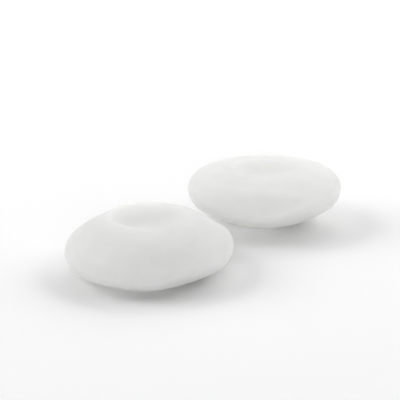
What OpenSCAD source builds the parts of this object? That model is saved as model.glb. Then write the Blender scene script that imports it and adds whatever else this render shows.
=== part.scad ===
// A pair of soft, lens-shaped ear plugs, resting side by side on a flat surface.
// Each plug is one solid lump, deeper on one face than on the other. The left plug lies with its
// deep face up and the right plug with its shallow face up. A fingertip has left a round dimple in
// the upper face of each, and the surface that it was pressed onto a small flat underneath.
// Millimetres. The origin is on the surface, midway between the plugs; X runs from left to right.

/* [Plug] */
// Diameter across the rim
plug_d = 17; // [13:0.5:22]
// Depth of the deep face, from the plane of the rim to the top of its arc
deep_h = 4.1; // [3.3:0.1:5.2]
// Depth of the shallow face, from the plane of the rim to the top of its arc
shallow_h = 2.6; // [2.3:0.1:3.2]
// Radius that rounds the rim
rim_r = 1.8; // [1:0.1:2.2]

/* [Dimple] */
// Diameter of the dimple, where its hollow would meet the face
dimple_d = 6.6; // [4.4:0.2:8]
// Depth of the hollow in the left plug's upper face
left_dimple_h = 0.55; // [0.3:0.05:0.8]
// Depth of the hollow in the right plug's upper face
right_dimple_h = 0.35; // [0.2:0.05:0.6]
// Radius that rounds the dimple's lip
lip_r = 3; // [0.8:0.1:3.8]

/* [Resting flat] */
// Diameter of the flat that each plug stands on
flat_d = 4; // [2.4:0.2:5]

/* [Layout] */
// Distance between the two rims, seen from above
rim_gap = 2.9; // [0.5:0.1:10]
// Lean of the left plug's axis from the vertical, in degrees
left_lean = 1.7; // [0:0.1:3]
// Lean of the right plug's axis from the vertical, in degrees
right_lean = 1; // [0:0.1:3]
// Heading that both axes lean towards, in degrees from X
lean_heading = 130; // [0:5:355]

/* [Hidden] */
$fn = 144;
arc_steps = 16;
foam_white = [0.93, 0.93, 0.92];
plug_x = (plug_d + rim_gap) / 2;
// The rim's rounding is an arc about this point of the half section
rim_centre = [plug_d / 2 - rim_r, 0];

// Radius of the arc of a face that rises h above the rim's plane and runs smoothly into the rim
function face_r(h) = (pow(rim_centre.x, 2) + pow(h, 2) - pow(rim_r, 2)) / (2 * (h - rim_r));

// Radius of the arc of a hollow of depth h across the dimple's diameter
function hollow_r(h) = (pow(dimple_d / 2, 2) + pow(h, 2)) / (2 * h);

// Direction from point a to point b of the half section, in degrees from straight up
function direction(a, b) = atan2(b.x - a.x, b.y - a.y);

// Where arcs of radius a and b, about points of the axis at heights za and zb, cross beside the axis
function crossing(a, za, b, zb) =
    let (z = (a * a - b * b + zb * zb - za * za) / (2 * (zb - za)))
    [sqrt(a * a - pow(z - za, 2)), z];

// Points along an arc from one direction towards another, without the last one
function arc(centre, r, from, to) = [
    for (i = [0:arc_steps - 1])
        let (a = from + (to - from) * i / arc_steps)
        centre + r * [sin(a), cos(a)]
];

// Half of a plug's outline: up from the hollow's deepest point, over the lip and the upper face,
// round the rim, and along the lower face to the bottom. Each arc runs smoothly into the next.
function outline(upper_h, lower_h, dimple_h) =
    let (
        upper_r = face_r(upper_h),
        lower_r = face_r(lower_h),
        upper_centre = [0, upper_h - upper_r],
        lower_centre = [0, lower_r - lower_h],
        dimple_z = upper_centre.y + sqrt(pow(upper_r, 2) - pow(dimple_d / 2, 2)),
        hollow_centre = [0, dimple_z - dimple_h + hollow_r(dimple_h)],
        lip_centre = crossing(
            upper_r - lip_r, upper_centre.y, hollow_r(dimple_h) + lip_r, hollow_centre.y),
        hollow_end = direction(hollow_centre, lip_centre),
        lip_end = direction(upper_centre, lip_centre),
        upper_end = direction(upper_centre, rim_centre),
        rim_end = direction(lower_centre, rim_centre)
    )
    concat(
        arc(hollow_centre, hollow_r(dimple_h), 180, hollow_end),
        arc(lip_centre, lip_r, hollow_end - 180, lip_end),
        arc(upper_centre, upper_r, lip_end, upper_end),
        arc(rim_centre, rim_r, upper_end, rim_end),
        arc(lower_centre, lower_r, rim_end, 180),
        [[0, -lower_h]]
    );

// A plug that leans and stands on its flat, with the middle of its rim above x on the X axis
module settled_plug(x, lean, upper_h, lower_h, dimple_h) {
    lower_r = face_r(lower_h);
    rim_z = sqrt(pow(lower_r, 2) - pow(flat_d / 2, 2)) - (lower_r - lower_h) * cos(lean);
    intersection() {
        translate([x, 0, rim_z])
            rotate(a = lean, v = [-sin(lean_heading), cos(lean_heading), 0])
                rotate_extrude() polygon(outline(upper_h, lower_h, dimple_h));
        translate([x - plug_d, -plug_d, 0]) cube(2 * plug_d);
    }
}

module left_plug() {
    color(foam_white) settled_plug(-plug_x, left_lean, deep_h, shallow_h, left_dimple_h);
}

module right_plug() {
    color(foam_white) settled_plug(plug_x, right_lean, shallow_h, deep_h, right_dimple_h);
}

left_plug();
right_plug();
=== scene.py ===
"""Looks for a pair of soft, lens-shaped ear plugs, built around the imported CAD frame."""

import math

import bmesh
import bpy
import numpy as np
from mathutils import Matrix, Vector, noise
from mathutils.bvhtree import BVHTree


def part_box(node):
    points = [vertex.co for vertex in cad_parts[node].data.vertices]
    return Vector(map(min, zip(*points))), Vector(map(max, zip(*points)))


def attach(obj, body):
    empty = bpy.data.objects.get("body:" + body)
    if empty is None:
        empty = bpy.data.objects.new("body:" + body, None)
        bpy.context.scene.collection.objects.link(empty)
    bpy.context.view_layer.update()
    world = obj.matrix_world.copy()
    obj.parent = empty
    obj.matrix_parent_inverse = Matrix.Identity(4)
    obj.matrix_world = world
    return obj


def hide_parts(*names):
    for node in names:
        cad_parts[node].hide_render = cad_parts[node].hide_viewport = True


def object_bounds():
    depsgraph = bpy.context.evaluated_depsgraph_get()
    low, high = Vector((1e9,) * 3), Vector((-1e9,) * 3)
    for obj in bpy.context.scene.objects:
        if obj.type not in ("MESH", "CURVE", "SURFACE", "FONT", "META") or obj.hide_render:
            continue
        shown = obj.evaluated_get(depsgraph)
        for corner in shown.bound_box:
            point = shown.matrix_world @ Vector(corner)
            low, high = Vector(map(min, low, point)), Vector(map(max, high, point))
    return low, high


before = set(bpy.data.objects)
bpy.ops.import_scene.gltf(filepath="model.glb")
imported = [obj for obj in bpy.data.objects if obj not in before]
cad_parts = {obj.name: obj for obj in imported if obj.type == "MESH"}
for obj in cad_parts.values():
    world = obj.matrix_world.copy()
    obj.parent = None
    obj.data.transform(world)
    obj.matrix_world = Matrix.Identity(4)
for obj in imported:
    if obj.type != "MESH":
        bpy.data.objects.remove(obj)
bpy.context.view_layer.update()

# Metres and degrees, in the frame's own axes. The pair stands on the plane at height 0.

# The camera: which way it looks, from how far, and where it aims from the middle of the pair
VIEW_AZIMUTH = -52.1
VIEW_TILT = 17.9
CAMERA_DISTANCE = 0.1472
CLIP_START = 0.01
LENS_MM = 125.6
AIM_RIGHT = -0.00101
AIM_UP = 0.00503

# The softboxes stand on a ball about the origin
SOFTBOX_DISTANCE = 0.5
SOFTBOX_SIZE = 0.34

# The floor
FLOOR_HALF = 3.0
FLOOR_WHITE = (0.965, 0.965, 0.965, 1)
FLOOR_ROUGHNESS = 0.8

# Painted light on the floor, an emission that stands in for light shining through each plug onto it:
# its place from the plug's middle, how far it spreads, and its strength
PAINTED_GLOW_RIGHT = -0.0015
PAINTED_GLOW_AWAY = -0.002
PAINTED_GLOW_REACH = 0.007
LEFT_PAINTED_GLOW = 0.26
RIGHT_PAINTED_GLOW = 0.2

# The plugs' whites, which drift between cool and warm in soft clouds
COOL_WHITE = (0.706, 0.706, 0.701)
WARM_WHITE = (0.686, 0.684, 0.671)
CLOUD_SIZE = 0.0024
CLOUD_LOW = 0.35
CLOUD_HIGH = 0.65

# The grain, which changes both the roughness and the bump
GRAIN_SIZE = 0.00028
GRAIN_DEPTH = 0.00003
GRAIN_STRENGTH = 0.5
GRAIN_LOW = 0.3
GRAIN_HIGH = 0.7
SMOOTHEST = 0.5
ROUGHEST = 0.68

# The pits, whose bottoms and rims are shares of their spacing. Their bottoms get a slightly darker
# white, a painted shade
PAINTED_PIT_SHADE = (0.676, 0.675, 0.664)
PIT_SPACING = 0.0006
PIT_BOTTOM = 0.08
PIT_RIM = 0.22
PIT_DEPTH = 0.00002
PIT_STRENGTH = 0.4

# How the putty takes light: a weak shine, and light that travels inside it, blue a little less far
SHINE = 0.25
GLOW_DEPTH = 0.015
GLOW_COLOURS = (1, 1, 0.9)

# A thumb's hollow: how much deeper it is at its lip than in its middle, the least and the most
# share of its depth, how wide the lip is beside the edge's blur, and how closely it keeps to its side
HOLLOW_SLOPE = 0.5
HOLLOW_LEAST = 0.3
HOLLOW_MOST = 1.5
LIP_SPREAD = 1.5
LIP_FOCUS = 3

# The plugs' meshes: cuts along each edge of the cube they start as, rounds of smoothing, and the
# fine unevenness of a kneaded lump
MESH_CUTS = 79
SMOOTHING = 6
KNEAD_SIZE = 0.0024
KNEAD_DEPTH = 0.00004

azimuth = math.radians(VIEW_AZIMUTH)
view_right = Vector((math.cos(azimuth), math.sin(azimuth), 0))
view_away = Vector((-math.sin(azimuth), math.cos(azimuth), 0))


def towards(heading, height):
    """Unit vector. heading is clockwise from straight behind the pair, as the camera sees it."""
    turn = math.radians(heading)
    rise = math.radians(height)
    flat = math.cos(turn) * view_away + math.sin(turn) * view_right
    return math.cos(rise) * flat + Vector((0, 0, math.sin(rise)))


def add_camera():
    """The camera, which looks down at the middle of the pair."""
    tilt = math.radians(VIEW_TILT)
    low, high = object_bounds()
    middle = Vector(((low.x + high.x) / 2, (low.y + high.y) / 2, low.z))
    aim = middle + AIM_RIGHT * view_right + Vector((0, 0, AIM_UP))
    forward = math.cos(tilt) * view_away - Vector((0, 0, math.sin(tilt)))
    camera = bpy.data.objects.new("camera", bpy.data.cameras.new("camera"))
    camera.data.lens = LENS_MM
    camera.data.clip_start = CLIP_START
    camera.location = aim - CAMERA_DISTANCE * forward
    camera.rotation_mode = "QUATERNION"
    camera.rotation_quaternion = forward.to_track_quat("-Z", "Y")
    bpy.context.scene.collection.objects.link(camera)
    bpy.context.scene.camera = camera


def add_softbox(name, heading, height, watts):
    """A square softbox that faces the pair."""
    outward = towards(heading, height)
    light = bpy.data.lights.new(name, "AREA")
    light.size = SOFTBOX_SIZE
    light.energy = watts
    lamp = bpy.data.objects.new(name, light)
    lamp.location = SOFTBOX_DISTANCE * outward
    lamp.rotation_mode = "QUATERNION"
    lamp.rotation_quaternion = (-outward).to_track_quat("-Z", "Y")
    lamp.visible_camera = False
    bpy.context.scene.collection.objects.link(lamp)


def add_lights():
    """Softboxes all round, so that the white floor burns out and the shadows stay soft and pale."""
    add_softbox("front_low", heading=180, height=8, watts=1.28)
    add_softbox("left", heading=-90, height=35, watts=0.94)
    add_softbox("behind_left", heading=-60, height=35, watts=0.73)
    add_softbox("behind", heading=0, height=35, watts=0.59)
    add_softbox("behind_right", heading=30, height=35, watts=0.57)
    add_softbox("right_back", heading=60, height=35, watts=0.57)
    add_softbox("right", heading=90, height=35, watts=0.66)
    add_softbox("overhead", heading=0, height=85, watts=0.32)


class Lump:
    """A plug's surface as arrays that a hand can press: one vertex on each ray from its middle."""

    def __init__(self, node):
        low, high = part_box(node)
        self.middle = (low + high) / 2
        half = (high - low) / 2
        surface = BVHTree.FromObject(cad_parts[node], bpy.context.evaluated_depsgraph_get())
        self.ball = bmesh.new()
        bmesh.ops.create_cube(self.ball, size=2)
        bmesh.ops.subdivide_edges(
            self.ball, edges=self.ball.edges, cuts=MESH_CUTS, use_grid_fill=True)
        rays = [vertex.co.normalized() for vertex in self.ball.verts]
        for vertex, ray in zip(self.ball.verts, rays):
            vertex.co = surface.ray_cast(self.middle, ray * half)[0]
        for _ in range(SMOOTHING):
            bmesh.ops.smooth_vert(
                self.ball, verts=self.ball.verts, factor=0.5,
                use_axis_x=True, use_axis_y=True, use_axis_z=True)
        self.rays = np.array(rays)
        self.points = np.array([vertex.co for vertex in self.ball.verts])

    def spot(self, heading, height):
        """The vertex in one direction from the middle, with the lump's box scaled to a cube."""
        return self.points[np.argmax(self.rays @ np.array(towards(heading, height)))]

    def press(self, heading, height, reach, depth):
        """Pushes the surface in at one place, fading over reach. A negative depth swells it."""
        spot = self.spot(heading, height)
        fade = np.exp(-np.sum((self.points - spot) ** 2, axis=1) / reach ** 2)
        inward = np.array(-towards(heading, height))
        self.points += depth * fade[:, None] * inward

    def flatten(self, heading, height, depth, blend):
        """Presses a soft flat into the side that faces one direction."""
        outward = np.array(towards(heading, height))
        reach = self.points @ outward
        over = (reach - reach.max() + depth) / blend
        self.points -= blend * np.logaddexp(0, over)[:, None] * outward

    def dimple(self, right, away, width, length, depth, lip_heading, lip_rise, blur_lip, blur_open):
        """A thumb's hollow in the upper face. Its lip is crisp on one side and soft on the other.

        right and away place the hollow's middle from the lump's. Each blur is how gradually the
        edge rises on that side, as a share of half the hollow's width.
        """
        side = (self.points - np.array(self.middle)) @ np.array(view_right) - right
        back = (self.points - np.array(self.middle)) @ np.array(view_away) - away
        turn = math.radians(lip_heading)
        # distance is 1 at the hollow's edge; facing is 1 on the lip's side and 0 on the open side
        distance = np.hypot(side / width, back / length) * 2
        facing = 0.5 + 0.5 * np.cos(np.arctan2(side, back) - turn)
        # On the lip's side the edge is sharper and the bottom deeper
        blur = blur_open + (blur_lip - blur_open) * facing
        to_lip = (side * math.sin(turn) + back * math.cos(turn)) * 2 / width
        slope = np.clip(1 + HOLLOW_SLOPE * to_lip, HOLLOW_LEAST, HOLLOW_MOST)
        hollow = (0.5 - 0.5 * np.tanh((distance - 1) / blur)) * slope
        # The lip is a low ridge just outside the edge
        beyond = (distance - 1 - blur_lip) / (LIP_SPREAD * blur_lip)
        lip = facing ** LIP_FOCUS * np.exp(-beyond ** 2)
        upper = self.points[:, 2] > self.middle.z
        self.points[upper, 2] += (lip_rise * lip - depth * hollow)[upper]

    def knead(self):
        """Soft unevenness all over."""
        for index, point in enumerate(self.points):
            swell = KNEAD_DEPTH * noise.noise(Vector(point) / KNEAD_SIZE)
            self.points[index] += swell * self.rays[index]

    def finish(self, name):
        """The piece itself. What was pressed below the floor is set down on it."""
        self.points[:, 2] = np.maximum(self.points[:, 2], 0)
        for vertex, point in zip(self.ball.verts, self.points):
            vertex.co = point
        mesh = bpy.data.meshes.new(name)
        self.ball.to_mesh(mesh)
        self.ball.free()
        mesh.shade_smooth()
        piece = bpy.data.objects.new(name, mesh)
        bpy.context.scene.collection.objects.link(piece)
        return piece


class Shader:
    """A material's nodes, added one at a time."""

    def __init__(self, name):
        self.material = bpy.data.materials.new(name)
        self.material.use_nodes = True
        self.tree = self.material.node_tree
        self.surface = self.tree.nodes["Principled BSDF"]
        self.place = self.tree.nodes.new("ShaderNodeTexCoord").outputs["Object"]

    def noise(self, size, detail, roughness=0.5):
        """Cloudy grain whose lumps are about size across. The value runs from 0 to 1."""
        node = self.tree.nodes.new("ShaderNodeTexNoise")
        node.inputs["Scale"].default_value = 1 / size
        node.inputs["Detail"].default_value = detail
        node.inputs["Roughness"].default_value = roughness
        self.tree.links.new(self.place, node.inputs["Vector"])
        return node.outputs["Fac"]

    def cells(self, size):
        """Distance to the nearest of scattered points about size apart, in shares of size."""
        node = self.tree.nodes.new("ShaderNodeTexVoronoi")
        node.inputs["Scale"].default_value = 1 / size
        self.tree.links.new(self.place, node.inputs["Vector"])
        return node.outputs["Distance"]

    def spread(self, value, low, high, start, end, curve="LINEAR"):
        """Maps value from low..high onto start..end, and holds it there."""
        node = self.tree.nodes.new("ShaderNodeMapRange")
        node.interpolation_type = curve
        self.tree.links.new(value, node.inputs["Value"])
        node.inputs["From Min"].default_value = low
        node.inputs["From Max"].default_value = high
        node.inputs["To Min"].default_value = start
        node.inputs["To Max"].default_value = end
        return node.outputs["Result"]

    def blend(self, value, colour_a, colour_b):
        """A colour between two others."""
        node = self.tree.nodes.new("ShaderNodeMix")
        node.data_type = "RGBA"
        self.tree.links.new(value, node.inputs["Factor"])
        for name, colour in (("A_Color", colour_a), ("B_Color", colour_b)):
            target = next(socket for socket in node.inputs if socket.identifier == name)
            if isinstance(colour, tuple):
                target.default_value = (*colour, 1)
            else:
                self.tree.links.new(colour, target)
        return next(socket for socket in node.outputs if socket.identifier == "Result_Color")

    def bump(self, height, depth, strength, under=None):
        """A surface that rises and falls by depth with height, on top of another one."""
        node = self.tree.nodes.new("ShaderNodeBump")
        node.inputs["Distance"].default_value = depth
        node.inputs["Strength"].default_value = strength
        self.tree.links.new(height, node.inputs["Height"])
        if under:
            self.tree.links.new(under, node.inputs["Normal"])
        return node.outputs["Normal"]

    def fade(self, point, reach, peak):
        """A value that is peak at one point of the piece's space and fades to 0 at reach from it."""
        gap = self.tree.nodes.new("ShaderNodeVectorMath")
        gap.operation = "DISTANCE"
        gap.inputs[1].default_value = point
        self.tree.links.new(self.place, gap.inputs[0])
        return self.spread(gap.outputs["Value"], 0, reach, peak, 0, "SMOOTHSTEP")

    def total(self, value_a, value_b):
        """Two values, added."""
        node = self.tree.nodes.new("ShaderNodeMath")
        self.tree.links.new(value_a, node.inputs[0])
        self.tree.links.new(value_b, node.inputs[1])
        return node.outputs["Value"]

    def drive(self, socket, value):
        """Sends a node's value to one of the surface's sockets."""
        self.tree.links.new(value, self.surface.inputs[socket])


def plug_material():
    """Soft white putty: cloudy, finely grained, pitted here and there with painted shade in the pits'
    bottoms, and slightly translucent.
    """
    shader = Shader("plug_white")
    clouds = shader.spread(shader.noise(CLOUD_SIZE, detail=2), CLOUD_LOW, CLOUD_HIGH, 0, 1)
    grain = shader.noise(GRAIN_SIZE, detail=3, roughness=0.6)
    pits_and_pit_shade = shader.spread(shader.cells(PIT_SPACING), PIT_BOTTOM, PIT_RIM, 0, 1)
    cloudy_white = shader.blend(clouds, COOL_WHITE, WARM_WHITE)
    # The pits' bottoms are a slightly darker white: painted shade in the recesses
    shader.drive("Base Color", shader.blend(pits_and_pit_shade, PAINTED_PIT_SHADE, cloudy_white))
    shader.drive("Roughness", shader.spread(grain, GRAIN_LOW, GRAIN_HIGH, SMOOTHEST, ROUGHEST))
    fine = shader.bump(grain, GRAIN_DEPTH, GRAIN_STRENGTH)
    shader.drive("Normal", shader.bump(pits_and_pit_shade, PIT_DEPTH, PIT_STRENGTH, under=fine))
    shader.surface.inputs["Specular IOR Level"].default_value = SHINE
    shader.surface.inputs["Subsurface Weight"].default_value = 1
    shader.surface.inputs["Subsurface Scale"].default_value = GLOW_DEPTH
    shader.surface.inputs["Subsurface Radius"].default_value = GLOW_COLOURS
    return shader.material


def add_floor():
    """The plain white floor, with painted light: it glows a little where light would shine through
    the plugs onto it.
    """
    mesh = bpy.data.meshes.new("floor")
    corners = [(x * FLOOR_HALF, y * FLOOR_HALF, 0) for x, y in ((-1, -1), (1, -1), (1, 1), (-1, 1))]
    mesh.from_pydata(corners, [], [(0, 1, 2, 3)])
    floor = bpy.data.objects.new("floor", mesh)
    bpy.context.scene.collection.objects.link(floor)
    shader = Shader("floor_white")
    shader.surface.inputs["Base Color"].default_value = FLOOR_WHITE
    shader.surface.inputs["Roughness"].default_value = FLOOR_ROUGHNESS
    shader.surface.inputs["Specular IOR Level"].default_value = 0
    shader.surface.inputs["Emission Color"].default_value = (1, 1, 1, 1)
    # Painted light: two emission pools on the floor stand in for light shining through the plugs
    left_painted_glow = shader.fade(painted_glow_centre("left_plug"), PAINTED_GLOW_REACH, LEFT_PAINTED_GLOW)
    right_painted_glow = shader.fade(painted_glow_centre("right_plug"), PAINTED_GLOW_REACH, RIGHT_PAINTED_GLOW)
    shader.drive("Emission Strength", shader.total(left_painted_glow, right_painted_glow))
    mesh.materials.append(shader.material)


def painted_glow_centre(node):
    """Where the painted floor glow is centred: under the part of a plug that is nearer the camera and
    left.
    """
    low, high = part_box(node)
    middle = (low + high) / 2
    spot = middle + PAINTED_GLOW_RIGHT * view_right + PAINTED_GLOW_AWAY * view_away
    return Vector((spot.x, spot.y, 0))


def shape_left_plug():
    """The nearer plug: a deep thumb mark, and flattened shoulders on its right."""
    lump = Lump("left_plug")
    lump.flatten(heading=62, height=56, depth=0.00018, blend=0.00004)
    lump.flatten(heading=125, height=-61, depth=0.0001, blend=0.00004)
    lump.flatten(heading=142, height=-36, depth=0.0005, blend=0.00012)
    lump.press(heading=134, height=-10, reach=0.0022, depth=-0.0001)
    lump.press(heading=180, height=-42, reach=0.0026, depth=-0.00014)
    lump.press(heading=-5, height=62, reach=0.0026, depth=-0.00014)
    lump.dimple(
        right=-0.0003, away=0.0002, width=0.0068, length=0.0062, depth=0.00066,
        lip_heading=-96, lip_rise=0.00016, blur_lip=0.13, blur_open=0.9)
    lump.press(heading=170, height=65, reach=0.0024, depth=0.0003)
    lump.press(heading=170, height=78, reach=0.0016, depth=-0.00026)
    lump.press(heading=-120, height=58, reach=0.0015, depth=-0.0003)
    lump.press(heading=126, height=2, reach=0.00045, depth=0.00014)
    lump.press(heading=132, height=-8, reach=0.0004, depth=-0.0001)
    lump.knead()
    return lump.finish("soft_left_plug")


def shape_right_plug():
    """The farther plug: a shallower thumb mark, and flattened shoulders on its right."""
    lump = Lump("right_plug")
    lump.flatten(heading=96, height=-14, depth=0.00008, blend=0.00004)
    lump.flatten(heading=144, height=-42, depth=0.0006, blend=0.00012)
    lump.press(heading=130, height=-14, reach=0.0024, depth=-0.0001)
    lump.dimple(
        right=-0.0006, away=0.0006, width=0.0052, length=0.0048, depth=0.0004,
        lip_heading=-100, lip_rise=0.00014, blur_lip=0.12, blur_open=1.2)
    lump.flatten(heading=140, height=66, depth=0.00034, blend=0.0002)
    lump.knead()
    return lump.finish("soft_right_plug")


bpy.context.scene.view_settings.view_transform = "Standard"
add_camera()
add_lights()
add_floor()
soft_white = plug_material()
for body, shape in (("left_plug", shape_left_plug), ("right_plug", shape_right_plug)):
    piece = shape()
    piece.data.materials.append(soft_white)
    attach(piece, body)
    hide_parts(body)
